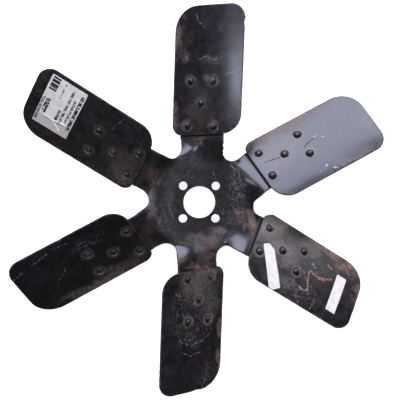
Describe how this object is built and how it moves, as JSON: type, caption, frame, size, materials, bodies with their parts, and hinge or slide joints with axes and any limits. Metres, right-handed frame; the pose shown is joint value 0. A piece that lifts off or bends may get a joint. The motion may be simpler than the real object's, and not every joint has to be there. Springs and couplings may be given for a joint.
{
  "type": "engine cooling fan",
  "caption": "Engine cooling fan: cambered sheet-steel blades riveted to a pressed steel spider with a flat bolted hub, in worn black paint.",
  "frame": {"origin": "on the fan's axis, level with the lowest edges of the blades, on which the fan rests with its front face up", "axes": "+Z along the fan's axis, out of the front face; +Y up along blade 1, within 1.5 degrees; blades are numbered clockwise seen from the front"},
  "size_m": [0.4332, 0.4596, 0.045],
  "materials": {
    "spider_paint": "satin",
    "blade_paint": "satin",
    "rivet_steel": "satin",
    "white_paper": "matte"
  },
  "bodies": {
    "root": {"spider": "spider_paint", "blade_1": "blade_paint", "blade_2": "blade_paint", "blade_3": "blade_paint", "blade_4": "blade_paint", "blade_5": "blade_paint", "blade_6": "blade_paint", "rivet_1_outer_left": "rivet_steel", "rivet_1_outer_right": "rivet_steel", "rivet_1_middle": "rivet_steel", "rivet_1_inner_left": "rivet_steel", "rivet_1_inner_right": "rivet_steel", "rivet_2_outer_left": "rivet_steel", "rivet_2_outer_right": "rivet_steel", "rivet_2_middle": "rivet_steel", "rivet_2_inner_left": "rivet_steel", "rivet_2_inner_right": "rivet_steel", "rivet_3_outer_left": "rivet_steel", "rivet_3_outer_right": "rivet_steel", "rivet_3_middle": "rivet_steel", "rivet_3_inner_left": "rivet_steel", "rivet_3_inner_right": "rivet_steel", "rivet_4_outer_left": "rivet_steel", "rivet_4_outer_right": "rivet_steel", "rivet_4_middle": "rivet_steel", "rivet_4_inner_left": "rivet_steel", "rivet_4_inner_right": "rivet_steel", "rivet_5_outer_left": "rivet_steel", "rivet_5_outer_right": "rivet_steel", "rivet_5_middle": "rivet_steel", "rivet_5_inner_left": "rivet_steel", "rivet_5_inner_right": "rivet_steel", "rivet_6_outer_left": "rivet_steel", "rivet_6_outer_right": "rivet_steel", "rivet_6_middle": "rivet_steel", "rivet_6_inner_left": "rivet_steel", "rivet_6_inner_right": "rivet_steel", "paper_label": "white_paper", "long_tape_strip": "white_paper", "short_tape_strip": "white_paper"}
  },
  "joints": []
}
